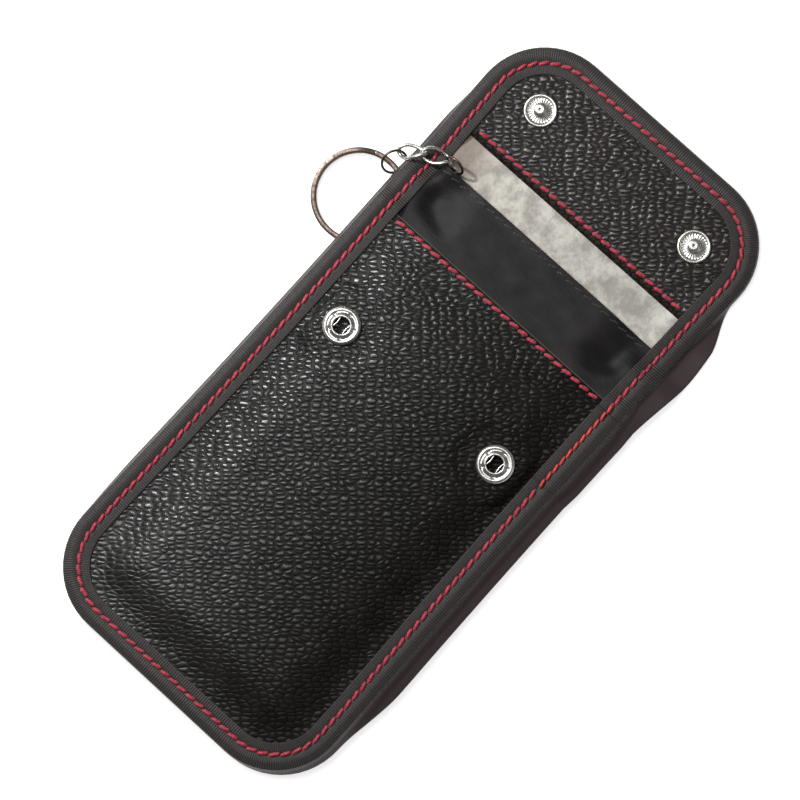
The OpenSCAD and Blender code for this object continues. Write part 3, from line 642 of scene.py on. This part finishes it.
# each stitch is a bent capsule: x runs along the seam, and z follows 1 - x^4 so that both ends sink in
def stitchPiece(name, at, along, length=None, radius=None):
    length, radius = length or stitch["length"], radius or stitch["radius"]
    a, up = math.radians(stitch["slant"]), np.tile([0.0, 0.0, 1.0], (len(at), 1))
    t = np.linspace(-1, 1, 9)[:, None]
    b = np.linspace(0, 2 * np.pi, 8, endpoint=False)[None, :]
    r = radius * np.sqrt(np.maximum(0.02, 1 - np.abs(t) ** 5))
    x = t * length / 2 + 0 * b
    yy, zz = r * np.cos(b), r * np.sin(b) + 0.45 * radius * (1 - t ** 4) - 0.35 * radius
    slantX, slantY = x * math.cos(a) - yy * math.sin(a), x * math.sin(a) + yy * math.cos(a)
    local = np.stack([slantX, slantY, zz], -1).reshape(-1, 3)
    along = along / np.linalg.norm(along, axis=1)[:, None]
    across = np.cross(up, along)
    axes = np.stack([along, across, up], 1)
    points = at[:, None] + np.einsum("pk,skc->spc", local, axes)
    one, count = gridFaces(9, 8, wrapCols=True), len(local)
    faces = (one[None] + (np.arange(len(at)) * count)[:, None, None]).reshape(-1, 4)
    starts = np.arange(len(at)) * count
    caps = [list(range(s, s + 8))[::-1] for s in starts] + [list(range(s + 64, s + 72)) for s in starts]
    return meshPiece(name, points.reshape(-1, 3), faces, extra=caps)


# points at an even pitch along a path, with the direction there, by adding up its steps
def alongPath(path, pitch, closedPath):
    full = np.concatenate([path, path[:1]]) if closedPath else path
    run = np.concatenate([[0], np.cumsum(np.linalg.norm(np.diff(full, axis=0), axis=1))])
    count = int(round(run[-1] / pitch))
    s = (np.arange(count) + 0.5) * run[-1] / count

    def take(d):  # points a distance d further on
        return np.stack([np.interp(np.clip(s + d, 0, run[-1]), run, full[:, k]) for k in range(3)], -1)

    return take(0), take(0.8) - take(-0.8)


def seamTop(at, out, over):
    x, y = at[:, 0] - out[:, 0] * tapeSize["seamIn"], at[:, 1] - out[:, 1] * tapeSize["seamIn"]
    return np.stack([x, y, baseZ(x, y) + stackT(at[:, 1]) + ply["gap"] * 2 + ply["tape"] + over], -1)


seamPath = seamTop(edgeAt, edgeOut, 0.0)
spots, ways = alongPath(seamPath, stitch["pitch"], True)
covered = (spots[:, 0] > 0) & (spots[:, 1] > 7.5) & (spots[:, 1] < 36.5)
edgeStitches = stitchPiece("edgeStitches", spots[~covered], ways[~covered])
dress(edgeStitches, "red", nodes=("flap_binding_stitch", "body_binding_stitch"), blended=True)
overStitchY = evenRows(8.6, 36.2, 2.75)
overSeamX = sideHalf(overStitchY) - tapeSize["seamIn"]
overSeamZ = baseZ(overSeamX, overStitchY) + stackT(overStitchY) + 0.1 + 2 * ply["tape"] + 0.05
overPath = np.stack([overSeamX, overStitchY, overSeamZ], -1)
overStitches = stitchPiece("overlapStitches", overPath, np.tile([0.0, 1.0, 0.0], (len(overPath), 1)),
                           length=3.0, radius=0.42)
dress(overStitches, "orange", body="pouch_body")

seamHalf = pouch["halfWidth"] - tapeSize["side"] - pouch["waist"] - 1.0


def seamAcross(name, look, body, nodeName, y, height, radius=None, pitch=3.3):
    x = np.linspace(-seamHalf, seamHalf, 160)
    path = np.stack([x, np.full_like(x, y), height(x, np.full_like(x, y))], -1)
    at, way = alongPath(path, pitch, False)
    piece = stitchPiece(name, at, way, radius=radius)
    return dress(piece, look, body=body, nodes=(nodeName,))


seamAcross("pocketStitches", "red", "pouch_body", "pocket_stitch", 35.8,
           lambda x, y: frontZ(x, y) + ply["leather"] + 0.02)
seamAcross("facingStitches", "red", "flap", "facing_stitch", 69.9,
           lambda x, y: facingZ(x, y) + ply["facing"] - 0.12)
seamAcross("mouthStitches", "black", "flap", "mouth_stitch", 55.0,
           lambda x, y: linerTop(x, y) + 0.04, radius=0.22)
print("seams sewn")


# press studs: profiles turned about an upright axis
# each profile point runs round a circle; lift adds height by radius and angle
def lathe(name, profile, place, segments=96, lift=None):
    p = np.asarray(profile, float)
    a = np.linspace(0, 2 * np.pi, segments, endpoint=False)[:, None]
    r, z = np.broadcast_to(p[:, 0], (segments, len(p))), np.broadcast_to(p[:, 1], (segments, len(p)))
    if lift:
        z = z + lift(r, a)
    points = np.stack([place[0] + r * np.cos(a), place[1] + r * np.sin(a), place[2] + z], -1)
    faces = gridFaces(segments, len(p), wrapRows=True, wrapCols=True)
    return meshPiece(name, points.reshape(-1, 3), faces)


def finer(profile, rounds=2):  # corner cutting, so that pressed edges are round
    q = np.asarray(profile, float)
    for _ in range(rounds):
        ahead = np.roll(q, -1, 0)
        q = np.stack([0.78 * q + 0.22 * ahead, 0.22 * q + 0.78 * ahead], 1).reshape(-1, 2)
    return q


socketR, hole, socketH = snap["socketD"] / 2, snap["hole"] / 2, 2.0
socketProfile = [(hole, -1.25), (2.65, -1.25), (2.65, 0.06), (socketR - 0.5, 0.06), (socketR, 0.35),
                 (socketR - 0.12, 0.95), (socketR - 0.8, socketH - 0.42), (socketR - 1.7, socketH - 0.72),
                 (hole + 1.0, socketH - 0.35), (hole + 0.45, socketH), (hole, socketH - 0.2)]
studR, ballR = snap["studD"] / 2, snap["ballD"] / 2
neckR = ballR - 0.55
studProfile = [(0.002, 0.06), (studR - 0.4, 0.06), (studR, 0.3), (studR - 0.1, 0.62), (studR - 0.45, 0.8),
               (studR - 0.95, 0.66), (studR - 1.25, 0.42), (neckR + 0.9, 0.55), (neckR + 0.3, 0.8),
               (neckR, 1.1), (neckR, 1.95),
               (ballR - 0.08, 2.25), (ballR, 2.5), (ballR - 0.2, 2.85), (ballR - 0.75, 3.08),
               (ballR - 1.2, 3.1), (0.002, 3.0)]


def dimples(r, a):  # five shallow dents between the hole and the rim
    at = np.cos(5 * (a - math.radians(18)))
    return -0.28 * np.exp(-((r - 3.5) / 0.55) ** 2) * smooth((at - 0.55) / 0.45) * smooth((r - 2.5) / 0.4)


def knurl(r, a):  # radial ridges on the flange
    return 0.07 * np.cos(26 * a) * smooth((r - neckR - 0.9) / 0.3) * smooth((studR - 1.1 - r) / 0.3)


for side, name in ((-1, "left"), (1, "right")):
    socket = lathe(f"socket_{name}_cup", finer(socketProfile),
                   (side * snap["x"], snap["socketY"], socketBase), lift=dimples)
    dress(socket, "nickel", body="pouch_body", nodes=(f"socket_{name}",))
    stud = lathe(f"stud_{name}_post", finer(studProfile), (side * snap["x"], snap["studY"], studBase),
                 segments=156, lift=knurl)
    dress(stud, "nickel", body="flap", nodes=(f"stud_{name}",))
    bow = np.linspace(-1, 1, 17)
    wires = []
    for k in (-1, 1):  # each spring wire bows towards the ball between its ends
        reach = hole + 0.15
        x = side * snap["x"] + k * (1.85 - 0.28 * np.cos(bow * math.pi / 2) ** 2)
        level = np.full_like(bow, socketBase + socketH - 0.75)
        wires.append(sweep(np.stack([x, snap["socketY"] + bow * reach, level], -1), 0.2, 10, False))
    points = np.concatenate([w.reshape(-1, 3) for w in wires])
    faces = np.concatenate([gridFaces(17, 10, wrapCols=True), gridFaces(17, 10, wrapCols=True, first=170)])
    caps = [list(range(10))[::-1], list(range(160, 170)), list(range(170, 180))[::-1], list(range(330, 340))]
    spring = meshPiece(f"socket_spring_{name}_wires", points, faces, extra=caps)
    dress(spring, "nickel", body="pouch_body", nodes=(f"socket_spring_{name}",))
print("press studs set")


# chain and rings: wires swept round closed paths, turned and placed as in the part's source
def turned(points, at, x, y, z):
    def about(axis, degrees):
        return np.array(Matrix.Rotation(math.radians(degrees), 3, axis))
    return points @ (about("Z", z) @ about("Y", y) @ about("X", x)).T + np.asarray(at)


def wireLoop(name, path, r, sides, at, turns):
    rings = sweep(path, r, sides, True)
    return tubePiece(name, turned(rings.reshape(-1, 3), at, *turns).reshape(rings.shape), closedPath=True)


around = np.linspace(0, 2 * np.pi, 96, endpoint=False)


def circlePath(r):
    return np.stack([r * np.cos(around), r * np.sin(around), 0 * around], -1)


def curbPath(halfLong, halfWide):  # an oval whose two ends are turned 45 degrees opposite ways
    roll = -math.pi / 4 * np.cos(around)
    across = halfWide * np.sin(around)
    return np.stack([halfLong * np.cos(around), across * np.cos(roll), across * np.sin(roll)], -1)


# each closed wire of the chain: its path, its radius, and its place and turns about X, Y and Z
chain = [
    dict(name="mouthRing", node="mouth_ring", path=circlePath(2.925), wireR=0.375, look="darkNickel",
         at=(-35.89, 57.96, 5.21), turns=(66, -3, 0)),
    dict(name="chainLinkInner", node="chain_link_inner", path=curbPath(4.15, 2.15), wireR=0.55, look="nickel",
         at=(-41.45, 56.47, 5.3), turns=(-12.7, 7.9, 28.1)),
    dict(name="chainLinkOuter", node="chain_link_outer", path=curbPath(4.15, 2.15), wireR=0.55, look="nickel",
         at=(-47.27, 52.91, 4.97), turns=(-27.1, -17.8, 32)),
    dict(name="smallRing", node="small_ring", path=circlePath(3.625), wireR=0.375, look="darkNickel",
         at=(-49.56, 47.73, 3.02), turns=(13.7, 44.7, 0)),
]
for link in chain:
    piece = wireLoop(link["name"], link["path"], link["wireR"], 14, link["at"], link["turns"])
    dress(piece, link["look"], body=link["node"], nodes=(link["node"],))

# split key ring: one flat strip of two turns that steps up by its own height half way, leaning on the chain;
# its section is in shares of its width and height
keyRing = dict(meanR=12.8, width=1.6, height=0.88, step=0.92, gap=8.0, stepFrom=345, stepOver=30, startAt=120,
               outerR=13.6, lean=2.65, high=120.0, at=(-50.7, 34.1))
a = np.radians(keyRing["gap"] + (720 - 2 * keyRing["gap"]) * np.linspace(0, 1, 260))
rise = keyRing["step"] * smooth((np.degrees(a) - keyRing["stepFrom"]) / keyRing["stepOver"])
section = np.array([(-0.5, 0.12), (-0.5, 0.88), (-0.42, 1.0), (0.42, 1.0),
                    (0.5, 0.88), (0.5, 0.12), (0.42, 0.0), (-0.42, 0.0)])
radius = keyRing["meanR"] + section[None, :, 0] * keyRing["width"]
turnA = a[:, None] + math.radians(keyRing["startAt"])
level = rise[:, None] + section[None, :, 1] * keyRing["height"]
rings = np.stack([radius * np.cos(turnA), radius * np.sin(turnA), level], -1)
half = (keyRing["step"] + keyRing["height"]) / 2
midZ = 0.01 + half + keyRing["outerR"] * math.sin(math.radians(keyRing["lean"]))
high = math.radians(keyRing["high"])
leanAxis = Vector((math.sin(high), -math.cos(high), 0))
leanTurn = np.array(Matrix.Rotation(math.radians(keyRing["lean"]), 3, leanAxis))
rings = (rings - np.array([0, 0, half])) @ leanTurn.T + np.array([*keyRing["at"], midZ])
keyPiece = tubePiece("splitKeyRing", rings)
dress(keyPiece, "darkNickel", body="split_key_ring", nodes=("split_key_ring",))

# ribbon eye round the mouth ring's lowest point, with its foot under the mouth
ribbon = dict(at=(-35.75, 56.77, 2.54), loopR=0.59, halfWide=0.75, halfThick=0.06)
b = np.linspace(0, 2 * np.pi, 32, endpoint=False)
eyeOut = np.stack([0 * b, np.cos(b), np.sin(b)], -1)
wide, thick = ribbon["halfWide"], ribbon["halfThick"]
flatSection = np.array([(-wide, -thick), (-wide, thick), (wide, thick), (wide, -thick)])
rings = np.array(ribbon["at"]) + eyeOut[:, None] * (ribbon["loopR"] + flatSection[None, :, 1:2])
rings = rings + np.array([1.0, 0, 0]) * flatSection[None, :, 0:1]
ribbonPiece = tubePiece("ribbonLoop", rings, closedPath=True)
dress(ribbonPiece, "liner", body="flap", nodes=("ribbon_loop",))

for nodeName in ("socket_cap_left", "socket_cap_right", "stud_post_left", "stud_post_right"):
    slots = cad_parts[nodeName].material_slots
    if not slots:
        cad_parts[nodeName].data.materials.append(finish["cap"])
    for one in slots:
        one.material = finish["cap"]
print("chain and rings hung")


# table, backdrop light and lamps
floorMesh = bpy.data.meshes.new("table")
floorMesh.from_pydata([(-3, -3, 0), (3, -3, 0), (3, 3, 0), (-3, 3, 0)], [], [(0, 1, 2, 3)])
table = bpy.data.objects.new("table", floorMesh)
bpy.context.collection.objects.link(table)
table.location = (0, 0, -0.0003)
white, tree, body, _ = newMaterial("whitePaperTable", Roughness=0.9)
body.inputs["Base Color"].default_value = (0.9, 0.9, 0.9, 1)
body.inputs["Emission Color"].default_value = (1, 1, 1, 1)
body.inputs["Emission Strength"].default_value = 0.72
table.data.materials.append(white)

world = bpy.data.worlds.new("studio")
world.use_nodes = True
world.node_tree.nodes["Background"].inputs["Color"].default_value = (0.95, 0.97, 1.0, 1)
world.node_tree.nodes["Background"].inputs["Strength"].default_value = 0.1
bpy.context.scene.world = world


def lamp(name, right, up, back, size, watts, colour=(1, 1, 1)):
    light = bpy.data.lights.new(name, "AREA")
    light.shape, light.size, light.energy, light.color = "DISK", size, watts, colour
    made = bpy.data.objects.new(name, light)
    bpy.context.collection.objects.link(made)
    made.location = rightWay * right + upWay * up + backWay * back
    made.rotation_euler = (-made.location).to_track_quat("-Z", "Y").to_euler()
    return made


lamp("keyLamp", -0.26, 0.27, 0.34, 0.05, 2.0)
lamp("softBox", -0.2, 0.24, 0.82, 0.42, 2.6, (0.98, 1.0, 0.98))
lamp("fillBox", 0.9, -0.3, 0.9, 0.8, 0.8, (1.0, 0.96, 0.97))
print("lamps placed")
